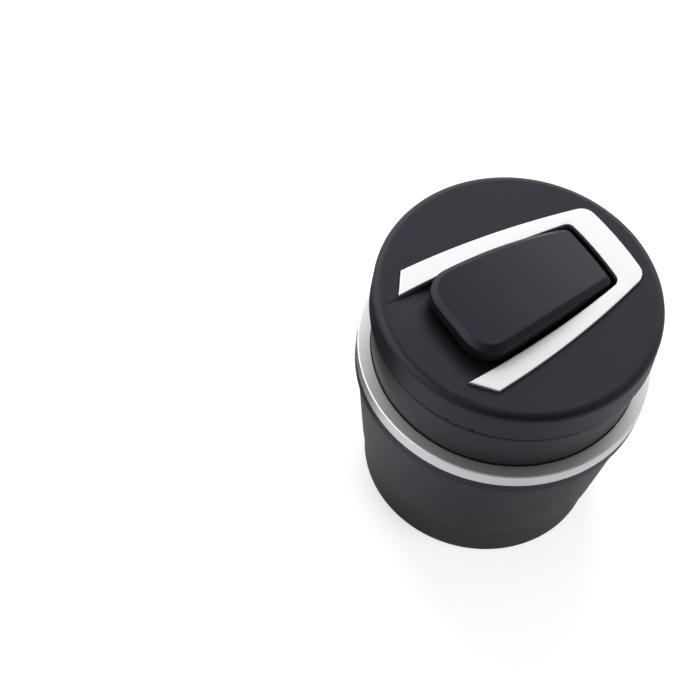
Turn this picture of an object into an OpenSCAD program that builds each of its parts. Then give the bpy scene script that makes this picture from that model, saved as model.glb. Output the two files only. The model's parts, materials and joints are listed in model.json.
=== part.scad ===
// Car ashtray: a lidded ash container that lifts out of an outer cup with a silver rim ring.
// The origin is the middle of the outer cup's underside, +Z is up and the lid's hinge is at +Y.

/* [Outer cup] */
// Height of the outer cup, ring included
cup_h = 57; // [52:0.5:62]
// Wall thickness at the cup's foot
cup_wall_t = 2.2; // [1.8:0.1:3]
// Thickness of the cup's floor
cup_floor_t = 2; // [1.6:0.1:3]
// Height of the foot band's groove above the underside
foot_band_h = 14; // [10:0.5:20]
// Depth of the foot band's groove
foot_groove = 0.5; // [0.2:0.1:0.8]
// Height of the dark flange under the ring
flange_h = 3.8; // [2.5:0.1:5]
// How far the flange stands out from the wall under it
flange_step = 0.8; // [0.5:0.1:1.5]
// Depth of the plain collar bore in the cup's mouth
mouth_depth = 4.7; // [3:0.1:6]
// Gap between the container and the collar bore, on the radius
mouth_gap = 0.18; // [0.1:0.02:0.4]
// Gap between the container and the rest of the cup's inner wall, on the radius
nest_gap = 0.3; // [0.2:0.05:0.5]
// Diameter of each round moulding mark on the cup's floor
mark_d = 7; // [4:0.5:9]
// Distance of the moulding marks from the middle
mark_r = 21.5; // [16:0.5:24]
// Number of moulding marks
mark_count = 6; // [4:1:8]

/* [Silver ring] */
// Width of the silver ring, seen from above
ring_w = 3.85; // [3.2:0.05:6]
// Height of the ring's outer face
ring_h = 4.5; // [3:0.1:6]
// Thickness of the ring's flat top
ring_top_t = 1; // [0.6:0.1:1.5]
// Thickness of the ring's outer wall
ring_wall_t = 1.2; // [0.8:0.1:1.6]

/* [Ash container] */
// How far the container's wall steps in under the lid
seam_step = 0.5; // [0.3:0.1:1]
// Diameter of the container's foot
body_foot_d = 62.8; // [61:0.2:64]
// Height of the seam under the lid above the silver ring
body_rise = 18; // [14:0.5:24]
// Wall thickness at the container's foot
body_wall_t = 2.2; // [1.8:0.1:2.6]
// Thickness of the container's floor
body_floor_t = 2.4; // [2:0.1:3.5]
// Rounding of the container's foot edge
body_foot_r = 4; // [3.6:0.1:5]
// Height of the thin lip that stands inside the lid
lip_h = 3.6; // [3:0.1:4]
// Thickness of the thin lip
lip_t = 1.6; // [1.4:0.1:2]

/* [Lid] */
// Diameter of the lid
lid_d = 82.5; // [82:0.1:84]
// Height of the lid without its grip
lid_h = 11; // [10.5:0.1:13]
// Rounding of the lid's top edge
lid_edge_r = 2.5; // [1:0.1:4]
// Thickness of the lid's skirt
lid_skirt_t = 1.6; // [1.2:0.1:1.9]
// Thickness of the lid's top
lid_top_t = 2.2; // [1.8:0.1:2.6]
// Open seam between the lid and the container
seam_gap = 0.3; // [0.2:0.05:0.5]
// Bevel on the edges above and below the seam, which makes it a dark groove
seam_edge = 0.5; // [0.2:0.1:0.8]
// Depth of the well that the grip stands in
well_depth = 6.4; // [6:0.1:6.6]
// Radius of the finger scoop's curved floor
scoop_r = 60; // [50:1:75]
// Distance from the lid's edge to where the finger scoop starts
scoop_inset = 6.25; // [5:0.25:9]
// Width of each small notch in the skirt's lower edge
nick_w = 0.9; // [0.5:0.1:1.5]

/* [Grip] */
// Width of the grip at its widest
grip_w = 30.5; // [28:0.1:31]
// Distance from the lid's middle to the grip's thick end
grip_front = 25; // [22:0.1:26]
// Distance from the lid's middle to the grip's thin end
grip_back = 25.2; // [24:0.1:25.4]
// Height of the grip's crown above the lid
grip_crown = 6.7; // [6:0.1:8]
// Radius of the grip's arched top, seen from the side
grip_arch_r = 130; // [125:1:160]
// Width of the chamfer round the grip's top
grip_chamfer = 1.7; // [1:0.1:2]
// Height of the chamfer round the grip's top
grip_chamfer_h = 1.5; // [1:0.1:2]
// Wall thickness of the grip's cover
grip_wall_t = 1.8; // [1.4:0.1:2]
// Air under the grip's thick end, above the lid
grip_lift = 0.5; // [0.3:0.1:1]

/* [Silver bracket] */
// Gap between the bracket and the grip's sides
bracket_gap = 1.25; // [1:0.05:1.6]
// Gap between the bracket and the grip's thin end
bracket_end_gap = 1.7; // [1.4:0.1:2]
// Width of the bracket's closed end
bracket_end_w = 7.95; // [7:0.05:8.5]
// Width of the bracket across its outer edges, at its widest
bracket_w = 47; // [46:0.1:48]
// Height of the bracket above the lid
bracket_proud = 1; // [0.6:0.1:1.3]
// Depth of the bracket in the lid
bracket_sink = 0.8; // [0.5:0.1:1]
// Distance from the lid's middle to the tips of the bracket's arms
bracket_tip = 30.3; // [29:0.1:31]
// Angle of the cut at the end of each arm
bracket_cut = 39.4; // [30:0.2:50]

/* [Hinge] */
// Diameter of the hinge's barrel
hinge_d = 3.8; // [3.6:0.1:4.4]
// How far the barrel stands out of the lid's side
hinge_out = 1.25; // [1:0.05:1.6]
// Diameter of the hinge pin
pin_d = 1.5; // [1.2:0.1:1.8]
// Width of the lid's knuckle
knuckle_w = 9.8; // [8:0.2:12]
// Width of each ear on the container
ear_w = 5.6; // [4:0.2:6]
// Gap between the knuckle and each ear
hinge_gap = 0.3; // [0.2:0.05:0.5]
// Gap between the pin and the knuckle's bore, on the radius
pin_gap = 0.05; // [0.02:0.01:0.08]

/* [Ash insert] */
// Thickness of the insert's sheet steel
sheet_t = 0.8; // [0.6:0.1:1]
// Diameter of the hole in the middle of the insert
drop_d = 30.8; // [26:0.2:34]
// Depth from the insert's flange to its funnel
funnel_depth = 7; // [5:0.5:9]
// Fall of the funnel from its edge to the hole
funnel_fall = 3.4; // [2:0.2:5]
// Height of the lip round the hole
drop_lip_h = 4; // [3:0.2:5]
// Diameter of each cigarette rest
rest_d = 8; // [7:0.5:9]
// Number of cigarette rests
rest_count = 3; // [2:1:4]

/* [Hidden] */
$fn = 128;

// Levels above the underside
z_ring = cup_h;
z_seam = z_ring + body_rise;
z_lid = z_seam + lid_h;
z_rim = z_seam - seam_gap;
z_lip = z_rim + lip_h;
axis_rise = 0.2;
z_axis = z_seam + axis_rise;
z_well = z_lid - well_depth;

// Container: the outer wall is one cone, and the cup's inner wall follows it
lid_r = lid_d / 2;
foot_z = cup_floor_t;
body_top_r = lid_r - seam_step;
body_slope = (body_top_r - body_foot_d / 2) / (z_rim - foot_z);
function body_r(z) = body_foot_d / 2 + body_slope * (z - foot_z);
lip_gap = 0.95;
lip_r = lid_r - lid_skirt_t - lip_gap;
lip_bore_r = lip_r - lip_t;
bore_foot_r = body_foot_d / 2 + body_slope * body_floor_t - body_wall_t;
z_bore = foot_z + body_floor_t;
bore_slope = (lip_bore_r - bore_foot_r) / (z_lip - z_bore);
function bore_r(z) = bore_foot_r + bore_slope * (z - z_bore);
foot_hollow = 1.2;
foot_rim_w = 11.4;
foot_hollow_r = body_foot_d / 2 - foot_rim_w;
ledge_depth = 2.3;
ledge_w = 0.5;

// Cup and ring
z_mouth = z_ring - mouth_depth;
mouth_r = body_r(z_ring) + mouth_gap;
function nest_r(z) = body_r(z) + nest_gap;
nest_ease = 1;
nest_fillet = body_foot_r - nest_ease;
z_seat = z_ring - ring_h;
z_flange = z_seat - flange_h;
ring_r = mouth_r + ring_w;
ring_bore_r = ring_r - ring_wall_t;
ring_edge = 0.35;
ring_step = 0.2;
flange_r = ring_r - ring_step;
flange_edge = 0.3;
cup_base_r = nest_r(foot_z) + cup_wall_t;
cup_top_r = flange_r - flange_step;
cup_edge_r = 1.5;
groove_w = 0.8;
function cup_r(z) = cup_base_r + (cup_top_r - cup_base_r) * z / z_flange;
mark_depth = 0.15;
nub_r = 1.1;
dimple_r = 3;
dimple_depth = 0.5;
nub_h = 1.2;

// Hinge: the axis lies just inside the lid's side, level with the seam
hinge_r = hinge_d / 2;
axis_y = lid_r + hinge_out - hinge_r;
pocket_gap = 0.35;
pocket_r = hinge_r + pocket_gap;
ear_x = knuckle_w / 2 + hinge_gap;
hinge_half = ear_x + ear_w;
pin_inset = 0.2;
pin_half = hinge_half - pin_inset;
ear_drop = 6.5;
ear_root = 2;

// Plan of the grip and of the bracket: long side arcs, closed by flatter end arcs
grip_side_r = 323;
grip_side_y = -30;
grip_end_r = 110;
grip_front_r = 200;
grip_corner_front = 8;
grip_corner_back = 2.2;
bracket_side_r = 267;
bracket_side_y = -37.7;
bracket_corner = 4.5;
grip_crown_y = -10;
arch_z = z_lid + grip_crown - grip_arch_r;
slot_corner = grip_corner_back + 0.4;
slot_back = grip_back + bracket_end_gap;
arms_over = 3.75;
arms_end = -lid_r - arms_over;
arms_corner = 2;
bracket_edge = 0.25;
bracket_seat_gap = 0.3;
peg_r = 1;
peg_gap = 0.1;
peg_drop = 0.8;
peg_side_y = [10, -15];
peg_end_x = 7;

// Well, grip base and fastenings
scoop_start = lid_r - scoop_inset;
scoop_foot = sqrt(2 * scoop_r * well_depth - well_depth * well_depth) - scoop_start;
well_wall_t = 1.3;
well_floor_t = 1.6;
base_gap = 0.1;
base_top_h = 1.5;
base_block_front = scoop_foot + 1;
z_under = z_lid + grip_lift;
z_skirt = z_lid - 3;
grip_step_y = 6;
screw_r = 1.1;
screw_gap = 0.15;
screw_head_r = 2.2;
screw_head_h = 1.3;
screw_slot_l = 2.8;
screw_slot_w = 0.5;
screw_slot_h = 0.7;
grip_screw_l = 5;
grip_screw_y = [0, 17];
liner_screw_l = 5.5;
liner_gap = 0.2;
liner_t = 0.8;
liner_lip = 1.4;
liner_edge = 0.6;
liner_inset = 4;
liner_r = lip_bore_r - liner_inset;
z_liner = z_well - well_floor_t - screw_head_h - liner_gap - liner_t;
boss_r = 2.6;
boss_inset = 4.5;
boss_angles = [40, 140, 218, 322];
seal_w = 2;
seal_t = 1.8;
seal_gap = 0.2;
seal_r = lip_r - lip_t / 2;
seal_edge = 0.4;
nick_at = [-64, -53.5];
nick_over = 0.35;
nick_h = seam_edge + nick_over;

// Insert
z_ledge = z_lip - ledge_depth;
ledge_r = lip_bore_r + ledge_w;
insert_gap = 0.4;
insert_r = bore_r(z_ledge - funnel_depth - sheet_t) - insert_gap;
insert_bend = 1.4;
z_funnel = z_ledge - funnel_depth;
z_drop = z_funnel - funnel_fall;
z_drop_lip = z_drop + drop_lip_h + sheet_t;
drop_bend = 1;

// Points along an arc round a centre
function arc(c, r, a0, a1, n = 8) =
  [for (i = [0:n]) let (a = a0 + (a1 - a0) * i / n) c + r * [cos(a), sin(a)]];

// One of the two points at distance r1 from c1 and r2 from c2
function meet(c1, r1, c2, r2, side) =
  let (
    d = norm(c2 - c1),
    u = (c2 - c1) / d,
    a = (d * d + r1 * r1 - r2 * r2) / (2 * d),
    h = sqrt(r1 * r1 - a * a)
  )
  c1 + a * u + side * h * [-u[1], u[0]];

function angle(v) = atan2(v[1], v[0]);

// Right half of a keystone outline, from its front to its back: an end arc, a corner, a long side arc,
// a corner and an end arc, each corner tangent to the arcs on both sides of it
function keystone_half(half_w, side_r, side_y, front, front_r, front_corner, back, back_r, back_corner) =
  let (
    sc = [half_w - side_r, side_y],
    bc = [0, back - back_r],
    fc = [0, front_r - front],
    bk = meet(sc, side_r - back_corner, bc, back_r - back_corner, 1),
    fk = meet(sc, side_r - front_corner, fc, front_r - front_corner, -1)
  )
  concat(
    arc(fk, front_corner, angle(fk - fc), angle(fk - sc), 10),
    arc(sc, side_r, angle(fk - sc), angle(bk - sc), 14),
    arc(bk, back_corner, angle(bk - sc), angle(bk - bc), 8),
    arc(bc, back_r, angle(bk - bc), 90, 5)
  );

// Half width of a keystone outline at a given y
function side_x(half_w, side_r, side_y, y) =
  half_w - side_r + sqrt(side_r * side_r - (y - side_y) * (y - side_y));

// Middle of the bracket's arm at a given y
slot_half = grip_w / 2 + bracket_gap;
slot_side_r = grip_side_r + bracket_gap;
function arm_x(y) =
  side_x(slot_half, slot_side_r, grip_side_y, y) / 2
  + side_x(bracket_w / 2, bracket_side_r, bracket_side_y, y) / 2;
peg_at = concat([for (y = peg_side_y) [arm_x(y), y]], [[peg_end_x, slot_back + bracket_end_w / 2]]);
boss_at = [for (a = boss_angles) (liner_r - boss_inset) * [cos(a), sin(a)]];
grip_screw_at = [for (y = grip_screw_y) [0, y]];

function mirrored(half) = concat(half, [for (i = [len(half) - 1:-1:0]) [-half[i][0], half[i][1]]]);

// Plan of the grip, made larger all round by grow
module grip_plan(grow = 0) {
  polygon(mirrored(keystone_half(
    grip_w / 2 + grow, grip_side_r + grow, grip_side_y,
    grip_front + grow, grip_front_r + grow, grip_corner_front + grow,
    grip_back + grow, grip_end_r + grow, grip_corner_back + grow
  )));
}

// Plan of the opening between the bracket's arms, which follows the grip and runs out to the front
module slot_plan(grow = 0) {
  polygon(mirrored(keystone_half(
    slot_half + grow, slot_side_r + grow, grip_side_y,
    -arms_end, grip_front_r, arms_corner,
    slot_back + grow, grip_end_r + bracket_gap + grow, slot_corner + grow
  )));
}

module bracket_plan(grow = 0) {
  cut = tan(bracket_cut);
  tip_y = -bracket_tip - grow / cos(bracket_cut) - slot_half * cut;
  far = 2 * lid_r;
  difference() {
    polygon(mirrored(keystone_half(
      bracket_w / 2 + grow, bracket_side_r + grow, bracket_side_y,
      -arms_end, grip_front_r, arms_corner,
      slot_back + bracket_end_w + grow, grip_end_r, bracket_corner + grow
    )));
    slot_plan(-grow);
    for (s = [-1, 1])
      polygon([[0, -far], [s * far, -far], [s * far, tip_y + far * cut], [0, tip_y]]);
  }
}

// Round bar along X through the hinge axis
module hinge_bar(r, x0, x1) {
  translate([x0, axis_y, z_axis]) rotate([0, 90, 0]) cylinder(r = r, h = x1 - x0);
}

module outer_cup() {
  color("#1b1c1f") difference() {
    rotate_extrude() difference() {
      polygon(concat(
        [[0, 0]],
        arc([cup_base_r - cup_edge_r, cup_edge_r], cup_edge_r, -90, 0, 6),
        [
          [cup_r(foot_band_h) - foot_groove, foot_band_h],
          [cup_r(foot_band_h + groove_w), foot_band_h + groove_w],
          [cup_r(z_flange), z_flange - flange_edge],
          [flange_r, z_flange],
          [flange_r, z_seat],
          [ring_bore_r, z_seat],
          [ring_bore_r, z_ring - ring_top_t],
          [mouth_r, z_ring - ring_top_t],
          [mouth_r, z_mouth],
          [nest_r(z_mouth), z_mouth]
        ],
        arc([nest_r(foot_z + nest_fillet) - nest_fillet, foot_z + nest_fillet], nest_fillet, 0, -90, 8),
        [[0, foot_z]]
      ));
    }
    for (i = [0:mark_count - 1])
      rotate([0, 0, i * 360 / mark_count]) translate([mark_r, 0, foot_z - mark_depth])
        cylinder(d = mark_d, h = 1);
    translate([0, 0, foot_z - dimple_depth]) difference() {
      cylinder(r = dimple_r, h = 2 * dimple_depth);
      cylinder(r = nub_r, h = 2 * dimple_depth);
    }
  }
  color("#1b1c1f") translate([0, 0, foot_z - dimple_depth]) cylinder(r = nub_r, h = nub_h);
}

module trim_ring() {
  color("#e4e4e8") rotate_extrude() polygon([
    [mouth_r, z_ring - ring_top_t],
    [mouth_r, z_ring - ring_step],
    [mouth_r + ring_step, z_ring],
    [ring_r - ring_edge, z_ring],
    [ring_r, z_ring - ring_edge],
    [ring_r, z_seat],
    [ring_bore_r, z_seat],
    [ring_bore_r, z_ring - ring_top_t]
  ]);
}

// Plan of one ear seen along the hinge: a round barrel that runs down into the wall
module ear_side() {
  translate([axis_y, z_axis]) circle(hinge_r);
  polygon([
    [axis_y - hinge_r, z_axis],
    [axis_y + hinge_r, z_axis],
    [body_r(z_axis - ear_drop) - 0.2 * ear_root, z_axis - ear_drop],
    [body_r(z_axis - ear_drop) - ear_root, z_axis - ear_drop],
    [body_r(z_rim) - ear_root, z_rim]
  ]);
}

module ash_container() {
  lip_edge = 0.3;
  color("#232427") difference() {
    union() {
      rotate_extrude() polygon(concat(
        [[0, foot_z + foot_hollow], [foot_hollow_r, foot_z + foot_hollow], [foot_hollow_r + 1, foot_z]],
        arc([body_r(foot_z + body_foot_r) - body_foot_r, foot_z + body_foot_r], body_foot_r, -90, 0, 8),
        [
          [body_r(z_rim - seam_edge), z_rim - seam_edge],
          [body_r(z_rim) - seam_edge, z_rim],
          [lip_r, z_rim],
          [lip_r, z_lip - lip_edge],
          [lip_r - lip_edge, z_lip],
          [ledge_r, z_lip],
          [ledge_r, z_ledge],
          [bore_r(z_ledge), z_ledge]
        ],
        arc([bore_r(z_bore + body_foot_r) - body_foot_r, z_bore + body_foot_r], body_foot_r, 0, -90, 8),
        [[0, z_bore]]
      ));
      for (s = [-1, 1])
        translate([s * (ear_x + ear_w / 2), 0, 0]) rotate([90, 0, 90])
          linear_extrude(ear_w, center = true) ear_side();
    }
    hinge_bar(pocket_r, -ear_x, ear_x);
    hinge_bar(pin_d / 2, -pin_half, pin_half);
  }
}

module ash_insert() {
  t = sheet_t;
  wall_r = insert_r - t;
  hole_r = drop_d / 2;
  color("#b9bbbe") difference() {
    rotate_extrude() polygon([
      [ledge_r - ring_step, z_ledge],
      [ledge_r - ring_step, z_ledge + t],
      [wall_r, z_ledge + t],
      [wall_r, z_funnel + insert_bend],
      [wall_r - insert_bend, z_funnel],
      [hole_r + t + drop_bend, z_drop + t],
      [hole_r + t, z_drop + t + drop_bend],
      [hole_r + t, z_drop_lip],
      [hole_r, z_drop_lip],
      [hole_r, z_drop + t + 0.6 * drop_bend],
      [hole_r + t + 0.6 * drop_bend, z_drop],
      [insert_r - insert_bend, z_funnel - t],
      [insert_r, z_funnel - t + insert_bend],
      [insert_r, z_ledge]
    ]);
    for (i = [0:rest_count - 1])
      rotate([0, 0, 90 + i * 360 / rest_count]) translate([0, 0, z_drop_lip + t]) rotate([0, 90, 0])
        cylinder(d = rest_d, h = hole_r + t + rest_d / 2);
  }
}

module hinge_pin() {
  color("#c8c8c8") hinge_bar(pin_d / 2, -pin_half, pin_half);
}

// Outline of the lid's section, down to the skirt's lower edge
module lid_section() {
  side_h = lid_h - lid_edge_r;
  square([lid_r - lid_edge_r, lid_h]);
  polygon([[0, 0], [lid_r - seam_edge, 0], [lid_r, seam_edge], [lid_r, side_h], [0, side_h]]);
  translate([lid_r - lid_edge_r, lid_h - lid_edge_r]) circle(lid_edge_r);
}

// Curved ground under the scoop, lowered by drop
module scoop_ground(drop = 0) {
  translate([0, -scoop_start, z_lid - scoop_r]) rotate([0, 90, 0])
    cylinder(r = scoop_r - drop, h = lid_d, center = true, $fn = 256);
}

// Space above the well's floor and above the scoop's curved ground
module well(grow, drop) {
  difference() {
    translate([0, 0, z_well - drop]) linear_extrude(well_depth + drop + 1 - grow) slot_plan(grow);
    scoop_ground(drop);
    translate([-lid_d, -scoop_start - lid_d, 0]) cube([2 * lid_d, lid_d, 2 * z_lid]);
  }
}

module lid_shell() {
  plate_z = z_lid - lid_top_t;
  seal_z = z_lip + seal_gap + seal_t;
  color("#242528") difference() {
    union() {
      difference() {
        translate([0, 0, z_seam]) rotate_extrude() lid_section();
        translate([0, 0, z_seam - 1]) cylinder(r = lid_r - lid_skirt_t, h = plate_z - z_seam + 1);
      }
      intersection() {
        well(well_wall_t, well_floor_t);
        cylinder(r = lid_r - lid_skirt_t / 2, h = z_lid - bracket_sink);
      }
      for (p = boss_at)
        translate([p[0], p[1], z_liner + liner_t]) cylinder(r = boss_r, h = plate_z - z_liner);
      translate([0, 0, seal_z]) difference() {
        cylinder(r = seal_r + seal_w / 2, h = z_lid - lid_top_t / 2 - seal_z);
        translate([0, 0, -1]) cylinder(r = seal_r - seal_w / 2, h = lid_h);
      }
      hinge_bar(hinge_r, -knuckle_w / 2, knuckle_w / 2);
    }
    well(0, 0);
    translate([0, 0, z_lid - bracket_sink]) linear_extrude(lid_h) bracket_plan(bracket_seat_gap);
    for (s = [-1, 1], p = peg_at)
      translate([s * p[0], p[1], z_seam]) cylinder(r = peg_r + peg_gap, h = lid_h);
    for (p = boss_at)
      translate([p[0], p[1], z_liner]) cylinder(r = screw_r, h = liner_screw_l + screw_gap);
    for (p = grip_screw_at)
      translate([p[0], p[1], z_seam]) cylinder(r = screw_r + screw_gap, h = lid_h);
    for (s = [-1, 1])
      translate([s * (ear_x + ear_w / 2), 0, 0])
        hinge_bar(pocket_r, -ear_w / 2 - hinge_gap, ear_w / 2 + hinge_gap);
    hinge_bar(pin_d / 2 + pin_gap, -knuckle_w, knuckle_w);
    for (a = nick_at)
      rotate([0, 0, a]) translate([lid_r - lid_skirt_t / 2, -nick_w / 2, z_seam - 1])
        cube([lid_skirt_t, nick_w, nick_h + 1]);
  }
}

module lid_liner() {
  color("#c2c4c6") difference() {
    translate([0, 0, z_liner]) rotate_extrude() polygon([
      [0, 0],
      [liner_r - liner_edge, 0],
      [liner_r, liner_edge],
      [liner_r, liner_t + liner_lip],
      [liner_r - liner_t, liner_t + liner_lip],
      [liner_r - liner_t, liner_t],
      [0, liner_t]
    ]);
    for (p = boss_at)
      translate([p[0], p[1], z_liner - liner_t]) cylinder(r = screw_r + screw_gap, h = 3 * liner_t);
  }
}

// Pan-head screw with its head's underside at z = 0 and its point upwards
module screw(length) {
  difference() {
    union() {
      cylinder(r = screw_r, h = length);
      translate([0, 0, -screw_head_h])
        cylinder(r1 = 0.8 * screw_head_r, r2 = screw_head_r, h = screw_head_h);
    }
    for (a = [0, 90])
      rotate([0, 0, a]) translate([-screw_slot_l / 2, -screw_slot_w / 2, -screw_head_h - screw_slot_h])
        cube([screw_slot_l, screw_slot_w, 2 * screw_slot_h]);
  }
}

module liner_screws() {
  color("#9c9ea1") for (p = boss_at)
    translate([p[0], p[1], z_liner]) screw(liner_screw_l);
}

module lid_seal() {
  color("#3a3a3c") translate([0, 0, z_lip + seal_gap]) rotate_extrude()
    translate([seal_r - seal_w / 2, 0]) polygon([
      [seal_edge, 0],
      [seal_w - seal_edge, 0],
      [seal_w, seal_edge],
      [seal_w, seal_t],
      [0, seal_t],
      [0, seal_edge]
    ]);
}

module trim_bracket() {
  top = bracket_sink + bracket_proud;
  color("#e6e6ea") translate([0, 0, z_lid - bracket_sink]) {
    linear_extrude(top - bracket_edge) bracket_plan();
    translate([0, 0, top - bracket_edge]) linear_extrude(bracket_edge) bracket_plan(-bracket_edge);
    for (s = [-1, 1], p = peg_at)
      translate([s * p[0], p[1], -lid_top_t - peg_drop])
        cylinder(r = peg_r, h = lid_top_t + peg_drop + bracket_edge);
  }
}

// Everything under the grip's arched top
module under_arch(drop = 0) {
  translate([0, grip_crown_y, arch_z]) rotate([0, 90, 0])
    cylinder(r = grip_arch_r - drop, h = 2 * grip_w, center = true, $fn = 360);
}

// Solid of the grip's outside down to z0, with a chamfer all round its arched top
module grip_solid(z0, grow, drop) {
  top = z_lid + grip_crown + 1;
  hull() {
    intersection() {
      translate([0, 0, z0]) linear_extrude(top - z0) grip_plan(-grow);
      under_arch(drop + grip_chamfer_h);
    }
    intersection() {
      translate([0, 0, z0]) linear_extrude(top - z0) grip_plan(-grow - grip_chamfer);
      under_arch(drop);
    }
  }
}

module grip_cover() {
  color("#1a1b1e") difference() {
    grip_solid(z_skirt, 0, 0);
    grip_solid(z_skirt - 1, grip_wall_t, grip_wall_t);
    translate([-lid_r, grip_step_y - 2 * lid_r, z_skirt - 1])
      cube([2 * lid_r, 2 * lid_r, z_under - z_skirt + 1]);
  }
}

module grip_base() {
  inset = grip_wall_t + base_gap;
  color("#141416") difference() {
    intersection() {
      translate([0, 0, z_well]) linear_extrude(z_under + base_top_h - z_well) grip_plan(-inset);
      under_arch(inset + grip_chamfer_h);
    }
    translate([-lid_r, base_block_front - 2 * lid_r, 0]) cube([2 * lid_r, 2 * lid_r, z_under]);
    for (p = grip_screw_at)
      translate([p[0], p[1], z_well - 1]) cylinder(r = screw_r, h = grip_screw_l);
  }
}

module grip_screws() {
  color("#9c9ea1") for (p = grip_screw_at)
    translate([p[0], p[1], z_well - well_floor_t]) screw(grip_screw_l);
}

outer_cup();
trim_ring();
ash_container();
ash_insert();
hinge_pin();
lid_shell();
lid_liner();
liner_screws();
lid_seal();
trim_bracket();
grip_base();
grip_cover();
grip_screws();
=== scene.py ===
# Car ashtray: a lidded ash container that stands in an outer cup with a silver rim ring.
# Lengths are in millimetres, as in the solids, and turn to metres where a mesh is finished.
import bpy
import bmesh
import json
import math
from mathutils import Matrix, Vector


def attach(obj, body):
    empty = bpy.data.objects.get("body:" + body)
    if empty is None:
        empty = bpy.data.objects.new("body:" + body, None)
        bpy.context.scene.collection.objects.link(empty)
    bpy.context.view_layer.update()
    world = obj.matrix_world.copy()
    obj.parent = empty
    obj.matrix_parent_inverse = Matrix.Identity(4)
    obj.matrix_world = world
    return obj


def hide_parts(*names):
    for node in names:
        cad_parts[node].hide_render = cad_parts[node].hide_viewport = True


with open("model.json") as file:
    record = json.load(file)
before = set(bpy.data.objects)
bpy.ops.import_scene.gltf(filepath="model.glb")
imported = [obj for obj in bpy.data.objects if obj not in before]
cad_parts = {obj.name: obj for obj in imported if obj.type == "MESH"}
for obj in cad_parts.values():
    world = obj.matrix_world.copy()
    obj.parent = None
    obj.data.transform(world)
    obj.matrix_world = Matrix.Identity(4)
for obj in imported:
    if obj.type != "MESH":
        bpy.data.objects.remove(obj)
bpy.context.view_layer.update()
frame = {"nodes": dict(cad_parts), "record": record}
MM = 0.001
TAU = 2 * math.pi

# Heights of the ring's top, of the lid's lower edge and of the lid's top
Z_RING, Z_SEAM, Z_LID = 57.0, 75.0, 86.0

# Outer cup and ring
CUP_FOOT_R, CUP_TOP_R, CUP_FLOOR_Z = 33.9, 41.5, 2.0
FOOT_BAND, FOOT_GROOVE = 14.0, 0.5
FLANGE_R, Z_FLANGE = 42.304, 48.7
MOUTH_R, MOUTH_DEPTH, NEST_GAP = 38.654, 4.7, 0.3
MARK_R, MARK_AT, MARK_SINK, MARK_COUNT = 3.5, 21.5, 0.15, 6
NUB_R, NUB_H, DIMPLE_R, DIMPLE_DEPTH = 1.1, 0.7, 3.0, 0.5
RING_R, RING_BORE_R, RING_TOP_T, Z_SEAT = 42.504, 41.304, 1.0, 52.5

# Ash container, with its lip and the ledge that the insert stands on
FOOT_Z, BODY_FOOT_R, BODY_TOP_R, Z_RIM, RIM_EDGE_R = 2.0, 31.4, 40.75, 74.7, 1.8
BODY_FLOOR_T, BODY_BORE_R, BODY_EDGE_R = 2.4, 29.5, 4.0
RECESS_R, RECESS_DEPTH, RECESS_SLOPE = 20.0, 1.2, 1.0
LIP_R, LIP_BORE_R, Z_LIP = 38.7, 37.1, 78.3
LEDGE_R, Z_LEDGE = 37.6, 76.0

# Insert
SHEET_T, FUNNEL_R, HOLE_R, BEND_R = 0.8, 35.663, 15.4, 1.4
FUNNEL_DEPTH, DROP_DEPTH, HOLE_LIP_DEPTH, DROP_SLOPE = 7.0, 10.4, 5.6, 0.06
REST_R, REST_AT, REST_L, REST_COUNT = 4.0, 14.0, 12.4, 3

# Lid
LID_R, LID_EDGE_R, SKIRT_T, PLATE_T, SEAM_EDGE = 41.25, 2.5, 1.6, 2.2, 0.5
NICK_H, NICK_W, NICK_ANGLES = 1.2, 1.1, (-64, -53.5)
RIB_Z, RIB_HALF = 80.3, 1.0
WELL_DEPTH, WELL_WALL, WELL_FLOOR, WELL_COVER = 6.4, 1.3, 1.6, 0.9
WELL_FLOOR_Z = Z_LID - WELL_DEPTH
SCOOP_R, SCOOP_START = 78.8, 38.4
Z_LINER, LINER_T = 75.7, 0.8
BOSS_R, BOSS_AT = 2.6, [(28.6, math.radians(a)) for a in (40, 140, 218, 322)]
LINER_SCREW_L, GRIP_SCREW_L, GRIP_SCREW_Y = 5.5, 5.0, (0, 17)

# Hinge
AXIS_Y, AXIS_Z, HINGE_R, POCKET_R, PIN_BORE_R = 40.6, 75.2, 1.9, 2.25, 0.8
KNUCKLE_HALF, EAR_FROM, EAR_TO, EAR_DROP = 4.9, 5.2, 10.8, 6.5

# Grip and bracket
CROWN_Y, ARCH_R, ARCH_RISE = -10.0, 130.0, 6.7
ARCH_Z = Z_LID + ARCH_RISE - ARCH_R
BRACKET_PROUD, BRACKET_SINK, BRACKET_GAP, BRACKET_EDGE_R = 1.0, 0.8, 0.3, 0.3
ARM_CUT, ARM_TIP = math.radians(39.4), 30.3

# Camera of the photograph
PHOTO_PIXELS, FOCAL_PIXELS = 700, 3000.0
CAMERA_TURN, CAMERA_TILT, CAMERA_ROLL = (math.radians(a) for a in (-45.4, 56.44, 11.34))
LID_PIXEL, LID_DEPTH = (520.46, 293.51), 835.1
SENSOR_WIDTH = 36.0


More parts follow.
